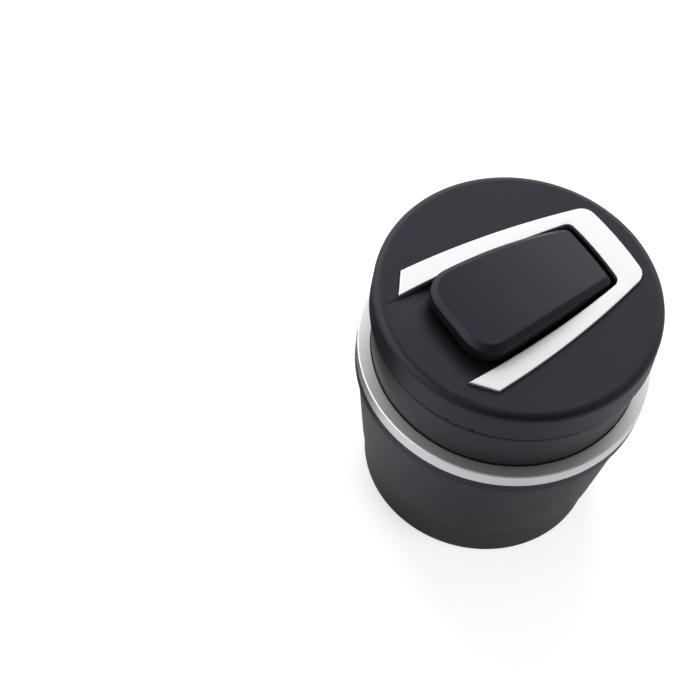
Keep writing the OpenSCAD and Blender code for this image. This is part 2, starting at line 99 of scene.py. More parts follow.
def make_camera():
    """Camera of the photograph, placed by where the middle of the lid's top shows in it."""
    s, c = math.sin(CAMERA_TILT), math.cos(CAMERA_TILT)
    tilt = Matrix(((1, 0, 0), (0, -s, -c), (0, c, -s)))
    turn = Matrix.Rotation(CAMERA_TURN, 3, "Z")
    to_camera = Matrix.Rotation(CAMERA_ROLL, 3, "Z") @ tilt @ turn
    side, down = ((p - PHOTO_PIXELS / 2) * LID_DEPTH / FOCAL_PIXELS for p in LID_PIXEL)
    spot = Vector((0, 0, Z_LID)) - to_camera.transposed() @ Vector((side, down, LID_DEPTH))
    data = bpy.data.cameras.new("camera")
    data.sensor_width = SENSOR_WIDTH
    data.lens = FOCAL_PIXELS / PHOTO_PIXELS * SENSOR_WIDTH
    data.clip_start, data.clip_end = 0.01, 20.0
    camera = bpy.data.objects.new("camera", data)
    axes = Matrix((to_camera[0], -to_camera[1], -to_camera[2])).transposed()
    camera.matrix_world = Matrix.Translation(spot * MM) @ axes.to_4x4()
    bpy.context.scene.collection.objects.link(camera)
    bpy.context.scene.camera = camera


make_camera()


# Materials
def linear(hex_code):
    """Linear colour of an sRGB code such as 2a2b2e."""
    out = []
    for at in (0, 2, 4):
        level = int(hex_code[at:at + 2], 16) / 255
        out.append(level / 12.92 if level <= 0.04045 else ((level + 0.055) / 1.055) ** 2.4)
    return (*out, 1.0)


def node(tree, kind, inputs=None, **settings):
    """Adds a node. An input is given as a value, a socket, or a node whose first output is meant."""
    added = tree.nodes.new(kind)
    for key, value in settings.items():
        setattr(added, key, value)
    for key, value in (inputs or {}).items():
        if isinstance(value, bpy.types.Node):
            value = value.outputs[0]
        if isinstance(value, bpy.types.NodeSocket):
            tree.links.new(value, added.inputs[key])
        else:
            added.inputs[key].default_value = value
    return added


def new_material(name):
    material = bpy.data.materials.new(name)
    material.use_nodes = True
    material.node_tree.nodes.clear()
    return material, material.node_tree


# Cool tint of the sheen on black plastic, its refraction, and how far roughness wanders either way
COOL_SHEEN, PLASTIC_IOR = "e4e4ff", 1.5
PLASTIC_HAZE, METAL_HAZE = 0.05, 0.06
# Hazy patches, in patches per metre: each is about 17 mm across
HAZE_SCALE = 60.0
# How deep within the cup's wall the finish changes to that of the bore, and the grain left in the bore
FINISH_DEPTH, BORE_GRAIN = 1.0, 0.1


def moulded_plastic(name, colour, roughness, grain_mm, grain_depth, bore=None):
    """Black moulded plastic with the grain of its tool. bore is the roughness in a polished bore."""
    material, tree = new_material(name)
    place = node(tree, "ShaderNodeTexCoord").outputs["Object"]
    grain = node(tree, "ShaderNodeTexNoise", {
        "Vector": place, "Scale": 1 / (grain_mm * MM), "Detail": 3.0, "Roughness": 0.6,
    })
    haze = node(tree, "ShaderNodeTexNoise", {"Vector": place, "Scale": HAZE_SCALE, "Detail": 3.0})
    rough = node(tree, "ShaderNodeMapRange", {
        "Value": haze, "To Min": roughness - PLASTIC_HAZE, "To Max": roughness + PLASTIC_HAZE,
    })
    strength = 1.0
    if bore is not None:
        rough, strength = bore_finish(tree, place, rough, bore)
    bump = node(tree, "ShaderNodeBump", {
        "Height": grain, "Strength": strength, "Distance": grain_depth * MM,
    })
    shader = node(tree, "ShaderNodeBsdfPrincipled", {
        "Base Color": linear(colour), "Roughness": rough, "IOR": PLASTIC_IOR,
        "Specular Tint": linear(COOL_SHEEN), "Normal": bump,
    })
    node(tree, "ShaderNodeOutputMaterial", {"Surface": shader})
    return material


def bore_finish(tree, place, rough, bore):
    """Roughness and strength of the grain, smooth within the cup's wall and above its floor's middle."""
    axes = node(tree, "ShaderNodeSeparateXYZ", {"Vector": place}).outputs
    flat = node(tree, "ShaderNodeCombineXYZ", {"X": axes["X"], "Y": axes["Y"]})
    radius = node(tree, "ShaderNodeVectorMath", {0: flat}, operation="LENGTH").outputs["Value"]
    wall = node(tree, "ShaderNodeMapRange", {
        "Value": axes["Z"], "From Max": Z_RING * MM,
        "To Min": (CUP_FOOT_R - FINISH_DEPTH) * MM, "To Max": (CUP_TOP_R - FINISH_DEPTH) * MM,
    })
    within = node(tree, "ShaderNodeMath", {0: radius, 1: wall}, operation="LESS_THAN")
    above = node(tree, "ShaderNodeMath", {0: axes["Z"], 1: CUP_FLOOR_Z / 2 * MM}, operation="GREATER_THAN")
    inside = node(tree, "ShaderNodeMath", {0: within, 1: above}, operation="MULTIPLY")
    mixed = node(tree, "ShaderNodeMix", {"Factor": inside, "A": rough, "B": bore}, data_type="FLOAT")
    return mixed, node(tree, "ShaderNodeMapRange", {"Value": inside, "To Min": 1.0, "To Max": BORE_GRAIN})


def satin_metal(name, colour, roughness, grain_mm, grain_depth, brush=1.0):
    """Plated or bare metal. brush stretches the grain along X, as on brushed sheet."""
    material, tree = new_material(name)
    place = node(tree, "ShaderNodeTexCoord").outputs["Object"]
    stretch = node(tree, "ShaderNodeMapping", {
        "Vector": place, "Scale": (1 / brush, 1, 1),
    }, vector_type="POINT")
    grain = node(tree, "ShaderNodeTexNoise", {
        "Vector": stretch, "Scale": 1 / (grain_mm * MM), "Detail": 2.0,
    })
    rough = node(tree, "ShaderNodeMapRange", {
        "Value": grain, "To Min": roughness - METAL_HAZE, "To Max": roughness + METAL_HAZE,
    })
    bump = node(tree, "ShaderNodeBump", {"Height": grain, "Strength": 1.0, "Distance": grain_depth * MM})
    shader = node(tree, "ShaderNodeBsdfPrincipled", {
        "Base Color": linear(colour), "Metallic": 1.0, "Roughness": rough, "Normal": bump,
    })
    node(tree, "ShaderNodeOutputMaterial", {"Surface": shader})
    return material


MATS = {
    # black ABS from a spark-eroded tool: a fine even grain, matt with a cool sheen; lid and container
    "textured_black": moulded_plastic("spark_eroded_black_abs", "101013", 0.45, 0.22, 0.014),
    # black ABS, satin outside and polished in its bore; the outer cup
    "cup_black": moulded_plastic("satin_black_abs", "101013", 0.42, 0.30, 0.008, bore=0.20),
    # black ABS with a smoother feel than the lid; the grip
    "grip_black": moulded_plastic("smooth_black_abs", "101014", 0.47, 0.16, 0.006),
    # satin silver plating over plastic with a fine blasted grain; ring and bracket
    "satin_silver": satin_metal("satin_silver_plating", "fbfafc", 0.50, 0.28, 0.006),
    # pressed stainless sheet with a fine brush; insert and liner
    "stainless": satin_metal("brushed_stainless_sheet", "cfcfce", 0.27, 0.20, 0.004, brush=14.0),
    # zinc-plated steel; pin and screws
    "steel": satin_metal("zinc_plated_steel", "c4c6c8", 0.33, 0.30, 0.002),
    # matt black rubber; the seal
    "black_rubber": moulded_plastic("black_rubber", "1c1c1d", 0.75, 0.30, 0.010),
}


def paint(obj, slot_name):
    obj.data.materials.clear()
    obj.data.materials.append(MATS[slot_name])


for part in frame["record"]["subparts"]:
    for holder in frame["nodes"][part["node"]].material_slots:
        holder.material = MATS[part["material_slot"]]


# Outlines
def arc(centre, radius, start, end, steps):
    """Points on a circle from one angle to another, in radians."""
    angles = (start + (end - start) * i / steps for i in range(steps + 1))
    return [Vector((centre[0] + radius * math.cos(a), centre[1] + radius * math.sin(a))) for a in angles]


def circle(centre, radius, steps):
    return arc(centre, radius, 0, TAU, steps)[:-1]


def rounded(points, closed=True, steps=6):
    """Polygon with arcs at its corners; a point is (a, b) or (a, b, radius)."""
    out, count = [], len(points)
    for i, p in enumerate(points):
        here = Vector(p[:2])
        radius = p[2] if len(p) > 2 else 0
        if radius <= 0 or (not closed and i in (0, count - 1)):
            out.append(here)
            continue
        before = (Vector(points[i - 1][:2]) - here).normalized()
        after = (Vector(points[(i + 1) % count][:2]) - here).normalized()
        half = before.angle(after) / 2
        reach = radius / math.tan(half)
        centre = here + (before + after).normalized() * (radius / math.sin(half))
        start, end = here + before * reach - centre, here + after * reach - centre
        turn = math.atan2(start.x * end.y - start.y * end.x, start.dot(end))
        first = math.atan2(start.y, start.x)
        out += arc(centre, radius, first, first + turn, steps)
    return out


def meet(c1, r1, c2, r2, side):
    """One of the two points at distance r1 from c1 and r2 from c2."""
    d = (c2 - c1).length
    u = (c2 - c1) / d
    a = (d * d + r1 * r1 - r2 * r2) / (2 * d)
    return c1 + u * a + Vector((-u.y, u.x)) * side * math.sqrt(r1 * r1 - a * a)


def turn_of(v):
    return math.atan2(v.y, v.x)


# Keystone outlines: half width, then radius and place of the side, front and back arcs and their corners
GRIP = dict(
    half=15.25, side_r=323.0, side_y=-30.0, front=25.0, front_r=200.0, front_c=8.0,
    back=25.2, back_r=110.0, back_c=2.2,
)
SLOT = dict(
    half=16.5, side_r=324.25, side_y=-30.0, front=45.0, front_r=200.0, front_c=2.0,
    back=26.9, back_r=111.25, back_c=2.6,
)
OUTER = dict(
    half=23.5, side_r=267.0, side_y=-37.7, front=45.0, front_r=200.0, front_c=2.0,
    back=34.85, back_r=110.0, back_c=4.5,
)
# Steps of the arcs, the side's on both sides of a split, and half the gap between a split's points
FRONT_STEPS, FRONT_CORNER_STEPS, SIDE_STEPS, BACK_STEPS = 6, 16, 44, 10
BELOW_SPLIT, ABOVE_SPLIT, SPLIT_GAP = 30, 16, 0.02
# Lowest and highest y between which a cut through a side is looked for
CUT_RANGE = (-44, 10)


def half_outline(shape, grow=0.0, side_from=None, split=None):
    """Right half of a keystone outline from front to back, or from angle side_from on its side arc.
    split gives the side two points close together at that y."""
    side_r, back_r, corner_r = shape["side_r"] + grow, shape["back_r"] + grow, shape["back_c"] + grow
    front_r, front_c = shape["front_r"] + grow, shape["front_c"] + grow
    side = Vector((shape["half"] - shape["side_r"], shape["side_y"]))
    back = Vector((0, shape["back"] - shape["back_r"]))
    front = Vector((0, shape["front_r"] - shape["front"]))
    corner = meet(side, side_r - corner_r, back, back_r - corner_r, 1)
    to_back = turn_of(corner - side)
    points, start = [], side_from
    if side_from is None:
        near = meet(side, side_r - front_c, front, front_r - front_c, -1)
        start = turn_of(near - side)
        points += arc(front, front_r, -TAU / 4, turn_of(near - front), FRONT_STEPS)[:-1]
        points += arc(near, front_c, turn_of(near - front), start, FRONT_CORNER_STEPS)[:-1]
    if split is None:
        points += arc(side, side_r, start, to_back, SIDE_STEPS)
    else:
        low, high = (math.asin((split + e - side.y) / side_r) for e in (-SPLIT_GAP, SPLIT_GAP))
        points += arc(side, side_r, start, low, BELOW_SPLIT)
        points += arc(side, side_r, high, to_back, ABOVE_SPLIT)
    points += arc(corner, corner_r, to_back, turn_of(corner - back), BACK_STEPS)[1:]
    return points + arc(back, back_r, turn_of(corner - back), TAU / 4, BACK_STEPS)[1:]


def whole(half, from_middle=False):
    """Both halves of an outline as one loop or path."""
    left = [Vector((-p.x, p.y)) for p in reversed(half[:-1])]
    return half + (left[:-1] if from_middle else left)


def cut_angle(shape, grow, reaches):
    """Angle on the side arc at which reaches(point) turns true, going from front to back."""
    side, radius = Vector((shape["half"] - shape["side_r"], shape["side_y"])), shape["side_r"] + grow
    low, high = (math.asin((y - side.y) / radius) for y in CUT_RANGE)
    for _ in range(50):
        middle = (low + high) / 2
        if reaches(side + Vector((math.cos(middle), math.sin(middle))) * radius):
            high = middle
        else:
            low = middle
    return (low + high) / 2


# Mesh helpers, and the distances under which points are one, in a new mesh and in a cut one
SAME_POINT, SLIVER = 1e-5, 0.002
# Turn between two faces over which their edge counts as sharp, in degrees
SHARP = 35


def new_object(name, bm):
    """Smooth-shaded object from a bmesh in millimetres, its faces turned outwards."""
    bmesh.ops.remove_doubles(bm, verts=bm.verts, dist=SAME_POINT)
    bmesh.ops.recalc_face_normals(bm, faces=bm.faces)
    bmesh.ops.scale(bm, vec=(MM, MM, MM), verts=bm.verts)
    mesh = bpy.data.meshes.new(name)
    bm.to_mesh(mesh)
    bm.free()
    for f in mesh.polygons:
        f.use_smooth = True
    obj = bpy.data.objects.new(name, mesh)
    bpy.context.scene.collection.objects.link(obj)
    return obj


def loft(bm, rings, capped=True):
    """Joins closed rings of 3-D points, each with the same count."""
    made = [[bm.verts.new(p) for p in ring] for ring in rings]
    count = len(made[0])
    for a, b in zip(made, made[1:]):
        for i in range(count):
            bm.faces.new((a[i], a[(i + 1) % count], b[(i + 1) % count], b[i]))
    if capped:
        bm.faces.new(list(reversed(made[0])))
        bm.faces.new(made[-1])
    return made


def revolve(name, profile, seg=240):
    """Closed profile of (radius, z) turned about the Z axis."""
    bm = bmesh.new()
    rings = []
    for r, z in profile:
        turns = [0.0] if r < SAME_POINT else [TAU * i / seg for i in range(seg)]
        rings.append([bm.verts.new((r * math.cos(a), r * math.sin(a), z)) for a in turns])
    for a, b in zip(rings, rings[1:] + rings[:1]):
        if len(a) == len(b) == 1:
            continue
        for i in range(seg):
            j = (i + 1) % seg
            if len(a) == 1:
                bm.faces.new((a[0], b[j], b[i]))
            elif len(b) == 1:
                bm.faces.new((a[i], a[j], b[0]))
            else:
                bm.faces.new((a[i], a[j], b[j], b[i]))
    return new_object(name, bm)


def prism(name, outline, z0, z1):
    """Outline extruded upwards."""
    bm = bmesh.new()
    loft(bm, [[(p.x, p.y, z) for p in outline] for z in (z0, z1)])
    return new_object(name, bm)


def along_hinge(name, outline, x0, x1):
    """Outline of (y, z) extruded along the hinge."""
    bm = bmesh.new()
    loft(bm, [[(x, p.x, p.y) for p in outline] for x in (x0, x1)])
    return new_object(name, bm)


def hinge_rod(name, r, x0, x1):
    return along_hinge(name, circle((AXIS_Y, AXIS_Z), r, 64), x0, x1)


def baked(obj):
    """Makes a plain mesh of what the modifiers give and takes them off."""
    graph = bpy.context.evaluated_depsgraph_get()
    shown = obj.evaluated_get(graph)
    mesh = bpy.data.meshes.new_from_object(shown, preserve_all_data_layers=True, depsgraph=graph)
    obj.modifiers.clear()
    old, obj.data = obj.data, mesh
    bpy.data.meshes.remove(old)
    mesh.name = obj.name
    return obj


def boolean(obj, others, operation):
    """Cuts or joins the object with each of the others in turn, and uses them up."""
    for other in others:
        mod = obj.modifiers.new("boolean", "BOOLEAN")
        mod.operation, mod.solver, mod.object = operation, "EXACT", other
        baked(obj)
        bpy.data.objects.remove(other)
    return obj


def merged(obj):
    """Takes out the faces without area that cuts leave where two edges nearly meet."""
    bm = bmesh.new()
    bm.from_mesh(obj.data)
    bmesh.ops.remove_doubles(bm, verts=bm.verts, dist=SLIVER * MM)
    bmesh.ops.dissolve_degenerate(bm, dist=SLIVER * MM, edges=bm.edges)
    bm.to_mesh(obj.data)
    bm.free()
    return obj


def soften(obj, width, angle=SHARP):
    """Rounds the sharp edges and lets flat faces keep their own normals."""
    mod = obj.modifiers.new("edges", "BEVEL")
    mod.width, mod.segments, mod.limit_method = width * MM, 2, "ANGLE"
    mod.angle_limit = math.radians(angle)
    mod.miter_outer = "MITER_ARC"
    flat = obj.modifiers.new("flats", "WEIGHTED_NORMAL")
    flat.mode, flat.weight = "FACE_AREA", 50
    for f in obj.data.polygons:
        f.use_smooth = True
    return baked(obj)


def crisp(obj):
    """Lets flat faces keep their own normals, with every sharp edge left sharp."""
    obj.data.set_sharp_from_angle(angle=math.radians(SHARP))
    flat = obj.modifiers.new("flats", "WEIGHTED_NORMAL")
    flat.mode, flat.weight, flat.keep_sharp = "FACE_AREA", 50, True
    return baked(obj)


def place(obj, body, slot_name, *nodes):
    """Gives a finished piece its material and its body, and hides the solids that it stands for."""
    paint(obj, slot_name)
    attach(obj, body)
    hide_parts(*nodes)


# Geometry Nodes trees, whose lengths are in metres
def new_tree(name, inputs):
    """Empty tree with a geometry output and the named inputs, each with its kind and default."""
    tree = bpy.data.node_groups.new(name, "GeometryNodeTree")
    tree.interface.new_socket(name="Geometry", in_out="OUTPUT", socket_type="NodeSocketGeometry")
    for label, (kind, value) in inputs.items():
        socket = tree.interface.new_socket(name=label, in_out="INPUT", socket_type="NodeSocket" + kind)
        if value is not None:
            socket.default_value = value
    return tree, node(tree, "NodeGroupInput").outputs


def end_tree(tree, geometry, material):
    real = node(tree, "GeometryNodeRealizeInstances", {"Geometry": geometry})
    dressed = node(tree, "GeometryNodeSetMaterial", {"Geometry": real, "Material": material})
    node(tree, "NodeGroupOutput", {"Geometry": dressed})
    return tree


def ring_pattern_tree():
    """Round bars at equal angles about the Z axis, upright or laid outwards by Tilt."""
    tree, given = new_tree("ring_pattern", {
        "Count": ("Int", 6), "Distance": ("Float", 0.02), "Height": ("Float", 0.0),
        "First Angle": ("Float", 0.0), "Tilt": ("Float", 0.0), "Bar Radius": ("Float", 0.003),
        "Bar Length": ("Float", 0.001), "Material": ("Material", None),
    })
    points = node(tree, "GeometryNodePoints", {"Count": given["Count"]})
    index = node(tree, "GeometryNodeInputIndex")
    step = node(tree, "ShaderNodeMath", {0: TAU, 1: given["Count"]}, operation="DIVIDE")
    along = node(tree, "ShaderNodeMath", {0: index, 1: step}, operation="MULTIPLY")
    angle = node(tree, "ShaderNodeMath", {0: given["First Angle"], 1: along}, operation="ADD")
    cos, sin = (node(tree, "ShaderNodeMath", {0: angle}, operation=o) for o in ("COSINE", "SINE"))
    spot = node(tree, "ShaderNodeCombineXYZ", {
        "X": node(tree, "ShaderNodeMath", {0: given["Distance"], 1: cos}, operation="MULTIPLY"),
        "Y": node(tree, "ShaderNodeMath", {0: given["Distance"], 1: sin}, operation="MULTIPLY"),
        "Z": given["Height"],
    })
    placed = node(tree, "GeometryNodeSetPosition", {"Geometry": points, "Position": spot})
    turned = node(tree, "ShaderNodeCombineXYZ", {"Y": given["Tilt"], "Z": angle})
    bar = node(tree, "GeometryNodeMeshCylinder", {
        "Radius": given["Bar Radius"], "Depth": given["Bar Length"], "Vertices": 64,
    })
    made = node(tree, "GeometryNodeInstanceOnPoints", {
        "Points": placed, "Instance": bar, "Rotation": turned,
    })
    return end_tree(tree, made, given["Material"])


def pan_head_screws_tree():
    """Cross-slotted pan-head screws, one at each vertex of the mesh, with their heads below it."""
    tree, given = new_tree("pan_head_screws", {
        "Geometry": ("Geometry", None),
        "Shank Radius": ("Float", 0.0011), "Shank Length": ("Float", 0.005),
        "Head Radius": ("Float", 0.0022), "Head Height": ("Float", 0.0013),
        "Slot Length": ("Float", 0.0028), "Slot Width": ("Float", 0.0005),
        "Slot Depth": ("Float", 0.0007), "Material": ("Material", None),
    })
    down = node(tree, "ShaderNodeMath", {0: given["Head Height"], 1: -1.0}, operation="MULTIPLY")
    narrow = node(tree, "ShaderNodeMath", {0: given["Head Radius"], 1: 0.8}, operation="MULTIPLY")
    head = node(tree, "GeometryNodeMeshCone", {
        "Radius Bottom": narrow, "Radius Top": given["Head Radius"], "Depth": given["Head Height"],
        "Vertices": 48,
    })
    head_at = node(tree, "ShaderNodeCombineXYZ", {"Z": down})
    head_low = node(tree, "GeometryNodeTransform", {"Geometry": head, "Translation": head_at})
    shank = node(tree, "GeometryNodeMeshCylinder", {
        "Radius": given["Shank Radius"], "Depth": given["Shank Length"], "Vertices": 32,
    })
    # a little under half the length, so that the shank's end lies within the head
    half_up = node(tree, "ShaderNodeMath", {0: given["Shank Length"], 1: 0.499}, operation="MULTIPLY")
    shank_at = node(tree, "ShaderNodeCombineXYZ", {"Z": half_up})
    shank_up = node(tree, "GeometryNodeTransform", {"Geometry": shank, "Translation": shank_at})
    solid = node(tree, "GeometryNodeMeshBoolean", operation="UNION", solver="EXACT")
    for part in (head_low, shank_up):
        tree.links.new(part.outputs[0], solid.inputs["Mesh 2"])
    deep = node(tree, "ShaderNodeMath", {0: given["Slot Depth"], 1: 2.0}, operation="MULTIPLY")
    cut = node(tree, "GeometryNodeMeshBoolean", {"Mesh 1": solid}, operation="DIFFERENCE", solver="EXACT")
    for x, y in (("Slot Length", "Slot Width"), ("Slot Width", "Slot Length")):
        size = node(tree, "ShaderNodeCombineXYZ", {"X": given[x], "Y": given[y], "Z": deep})
        box = node(tree, "GeometryNodeMeshCube", {"Size": size})
        slot = node(tree, "GeometryNodeTransform", {"Geometry": box, "Translation": head_at})
        tree.links.new(slot.outputs[0], cut.inputs["Mesh 2"])
    made = node(tree, "GeometryNodeInstanceOnPoints", {"Points": given["Geometry"], "Instance": cut})
    return end_tree(tree, made, given["Material"])


def grown(name, tree, points=(), **values):
    """Plain mesh of what a tree makes on the given points; a length in values is in metres."""
    mesh = bpy.data.meshes.new(name)
    mesh.from_pydata([tuple(c * MM for c in p) for p in points], [], [])
    obj = bpy.data.objects.new(name, mesh)
    bpy.context.scene.collection.objects.link(obj)
    mod = obj.modifiers.new("pattern", "NODES")
    mod.node_group = tree
    for socket in tree.interface.items_tree:
        key = socket.name.replace(" ", "_").lower()
        if socket.in_out == "INPUT" and key in values:
            mod[socket.identifier] = values[key]
    return baked(obj)


RING_PATTERN = ring_pattern_tree()
PAN_HEAD_SCREWS = pan_head_screws_tree()


# Grip and bracket
def arch(y, up=0.0):
    """Height of the grip's arched top, or of the arch that runs a distance above it."""
    return ARCH_Z + math.sqrt((ARCH_R + up) ** 2 - (y - CROWN_Y) ** 2)


def make_grip():
    """Arched grip cover with a chamfer round its top, open underneath and deeper at its back."""
    wall, step_y, low, deep = 1.8, 6.0, Z_LID + 0.5, Z_LID - 3.0
    chamfer, chamfer_h, land = 1.7, 1.5, 2.2
    bore_top, side_top, rim, rim_mid = -3.3, -2.6, 0.3, 0.09

    def loop(inset, shrink=1.0):
        flat = whole(half_outline(GRIP, -inset, split=step_y), from_middle=True)
        return [Vector((p.x * shrink, CROWN_Y + (p.y - CROWN_Y) * shrink)) for p in flat]

    def under_arch(inset, up, shrink=1.0):
        return [(p.x, p.y, arch(p.y, up)) for p in loop(inset, shrink)]

    def over_rim(inset, lift):
        return [(p.x, p.y, (low if p.y < step_y else deep) + lift) for p in loop(inset)]

    edge = rounded([(0, -5), (0, -chamfer_h, 0.4), (chamfer, 0, 0.6), (land, 0)], closed=False, steps=5)
    rings = [under_arch(wall, -wall, s) for s in (0.05, 0.4, 0.8, 0.93)]
    rings += [under_arch(wall, bore_top), over_rim(wall, 0), over_rim(rim, 0)]
    rings += [over_rim(rim_mid, rim_mid), over_rim(0, rim), under_arch(0, side_top)]
    rings += [under_arch(p.x, p.y) for p in edge[1:]]
    to_middle = (0.97, 0.93, 0.88, 0.8, 0.7, 0.6, 0.5, 0.4, 0.3, 0.2, 0.1, 0.03)
    rings += [under_arch(land, 0, s) for s in to_middle]
    bm = bmesh.new()
    loft(bm, rings)
    place(new_object("grip_cover_soft", bm), "lid", "grip_black", "grip_cover")


def bracket_loop(grow):
    """Outline of the bracket: its outer edge, then its inner edge the other way round."""
    cut_y = -ARM_TIP - grow / math.cos(ARM_CUT) - SLOT["half"] * math.tan(ARM_CUT)

    def past_cut(p):
        return p.y > cut_y + p.x * math.tan(ARM_CUT)

    outer = half_outline(OUTER, grow, side_from=cut_angle(OUTER, grow, past_cut))
    inner = half_outline(SLOT, -grow, side_from=cut_angle(SLOT, -grow, past_cut))
    return whole(outer) + list(reversed(whole(inner)))


def make_bracket():
    """Silver bracket with softly rounded top edges."""
    round_r = BRACKET_EDGE_R
    levels = [(0, -BRACKET_SINK)]
    for a in (0, 0.5, 1.0, TAU / 4):
        levels.append((-round_r + round_r * math.cos(a), BRACKET_PROUD - round_r + round_r * math.sin(a)))
    bm = bmesh.new()
    made = loft(bm, [[(p.x, p.y, Z_LID + h) for p in bracket_loop(g)] for g, h in levels], capped=False)
    for verts in (made[0], made[-1]):
        half = len(verts) // 2
        for i in range(half - 1):
            bm.faces.new((verts[i], verts[i + 1], verts[2 * half - 2 - i], verts[2 * half - 1 - i]))
    place(soften(new_object("trim_bracket_soft", bm), 0.15), "lid", "satin_silver", "trim_bracket")


# Lid
def well(name, grow, drop, top):
    """Space above the well's floor and the scoop's curved ground, up to top."""
    half = half_outline(SLOT, grow, side_from=cut_angle(SLOT, grow, lambda p: p.y > -SCOOP_START))
    floor, ground_r = WELL_FLOOR_Z - drop, SCOOP_R - drop
    centre, back, wide = Vector((-SCOOP_START, Z_LID - SCOOP_R)), SLOT["back"] + grow + 1, 30
    side = arc(centre, ground_r, TAU / 4, math.asin((floor - centre.y) / ground_r), 110)
    side += [Vector((back, floor)), Vector((back, top)), Vector((-SCOOP_START, top))]
    room = prism(name, whole(half), floor - 1, top + 1)
    return boolean(room, [along_hinge("ground", side, -wide, wide)], "INTERSECT")


def nick(angle):
    """Small notch in the skirt's lower edge."""
    a = math.radians(angle)
    out, side = Vector((math.cos(a), math.sin(a))), Vector((-math.sin(a), math.cos(a))) * NICK_W / 2
    near, far = out * (LID_R - SKIRT_T / 2), out * (LID_R + SKIRT_T / 2)
    return prism("nick", [near - side, far - side, far + side, near + side], Z_SEAM - 1, Z_SEAM + NICK_H)


def make_lid():
    """Lid with its well, scoop, bracket seat, seal rib, bosses and knuckle."""
    plate, skirt, past = Z_LID - PLATE_T, LID_R - SKIRT_T, Z_LID + 2
    rib = (LIP_R + LIP_BORE_R) / 2
    lid = revolve("lid_shell_soft", rounded([
        (0, Z_LID), (0, plate), (rib - RIB_HALF, plate), (rib - RIB_HALF, RIB_Z),
        (rib + RIB_HALF, RIB_Z), (rib + RIB_HALF, plate),
        (skirt, plate, 0.3), (skirt, Z_SEAM, 0.2), (LID_R - SEAM_EDGE, Z_SEAM, 0.15),
        (LID_R, Z_SEAM + SEAM_EDGE, 0.15), (LID_R, Z_SEAM + NICK_H + 0.3), (LID_R, Z_LID, LID_EDGE_R),
    ], steps=9))
    # the well's walls end within the skirt, clear of the lid's rounded edge
    within = prism("skirt_inside", circle((0, 0), skirt + 0.4, 128), Z_SEAM, Z_LID)
    walls = well("well_walls", WELL_WALL, WELL_FLOOR, Z_LID - WELL_COVER)
    adds = [boolean(walls, [within], "INTERSECT")]
    adds.append(hinge_rod("knuckle", HINGE_R, -KNUCKLE_HALF, KNUCKLE_HALF))
    for r, a in BOSS_AT:
        round_boss = circle((r * math.cos(a), r * math.sin(a)), BOSS_R, 32)
        adds.append(prism("boss", round_boss, Z_LINER + LINER_T, plate + 0.5))
    boolean(lid, adds, "UNION")
    ear_end = EAR_TO + EAR_FROM - KNUCKLE_HALF
    cuts = [
        well("well_room", 0, 0, past),
        prism("bracket_seat", bracket_loop(BRACKET_GAP), Z_LID - BRACKET_SINK, past),
        hinge_rod("ear_room", POCKET_R, KNUCKLE_HALF, ear_end),
        hinge_rod("ear_room", POCKET_R, -ear_end, -KNUCKLE_HALF),
        hinge_rod("pin_bore", PIN_BORE_R, -EAR_TO + 0.8, EAR_TO - 0.8),
    ]
    boolean(lid, cuts + [nick(a) for a in NICK_ANGLES], "DIFFERENCE")
    place(soften(merged(lid), 0.12), "lid", "textured_black", "lid_shell")


def make_screws():
    """Screws under the lid: four hold the liner, two hold the grip."""
    at_liner = [(r * math.cos(a), r * math.sin(a), Z_LINER) for r, a in BOSS_AT]
    at_grip = [(0, y, WELL_FLOOR_Z - WELL_FLOOR) for y in GRIP_SCREW_Y]
    rows = (("liner_screws", at_liner, LINER_SCREW_L), ("grip_screws", at_grip, GRIP_SCREW_L))
    for name, points, length in rows:
        screws = grown(
            name + "_soft", PAN_HEAD_SCREWS, points, shank_length=length * MM, material=MATS["steel"],
        )
        place(soften(screws, 0.08, 30), "lid", "steel", name)


# Container and insert
def body_r(z):
    return BODY_FOOT_R + (BODY_TOP_R - BODY_FOOT_R) * (z - FOOT_Z) / (Z_RIM - FOOT_Z)


def make_container():
    """Ash container: tapered wall, rounded rim with a thin lip, and two hinge ears."""
    recess, floor = FOOT_Z + RECESS_DEPTH, FOOT_Z + BODY_FLOOR_T
    body = revolve("ash_container_soft", rounded([
        (0, recess), (RECESS_R, recess, 0.4), (RECESS_R + RECESS_SLOPE, FOOT_Z, 0.3),
        (BODY_FOOT_R, FOOT_Z, BODY_EDGE_R), (BODY_TOP_R, Z_RIM, RIM_EDGE_R),
        (LIP_R, Z_RIM, 0.2), (LIP_R, Z_LIP, 0.3), (LEDGE_R, Z_LIP, 0.15), (LEDGE_R, Z_LEDGE),
        (LIP_BORE_R - 0.25, Z_LEDGE, 0.15), (BODY_BORE_R, floor, BODY_EDGE_R), (0, floor),
    ], steps=8))
    low, root = AXIS_Z - EAR_DROP, 2.0
    side = arc((AXIS_Y, AXIS_Z), HINGE_R, math.radians(150), math.radians(-25), 24)
    side += [Vector((body_r(low) - 0.4, low)), Vector((body_r(low) - root, low))]
    side.append(Vector((body_r(Z_RIM) - root, Z_RIM - 0.6)))
    ears = [along_hinge("ear", side, *x) for x in ((EAR_FROM, EAR_TO), (-EAR_TO, -EAR_FROM))]
    boolean(body, ears, "UNION")
    boolean(body, [hinge_rod("knuckle_room", POCKET_R, -EAR_FROM, EAR_FROM)], "DIFFERENCE")
    place(soften(body, 0.2), "container", "textured_black", "ash_container")


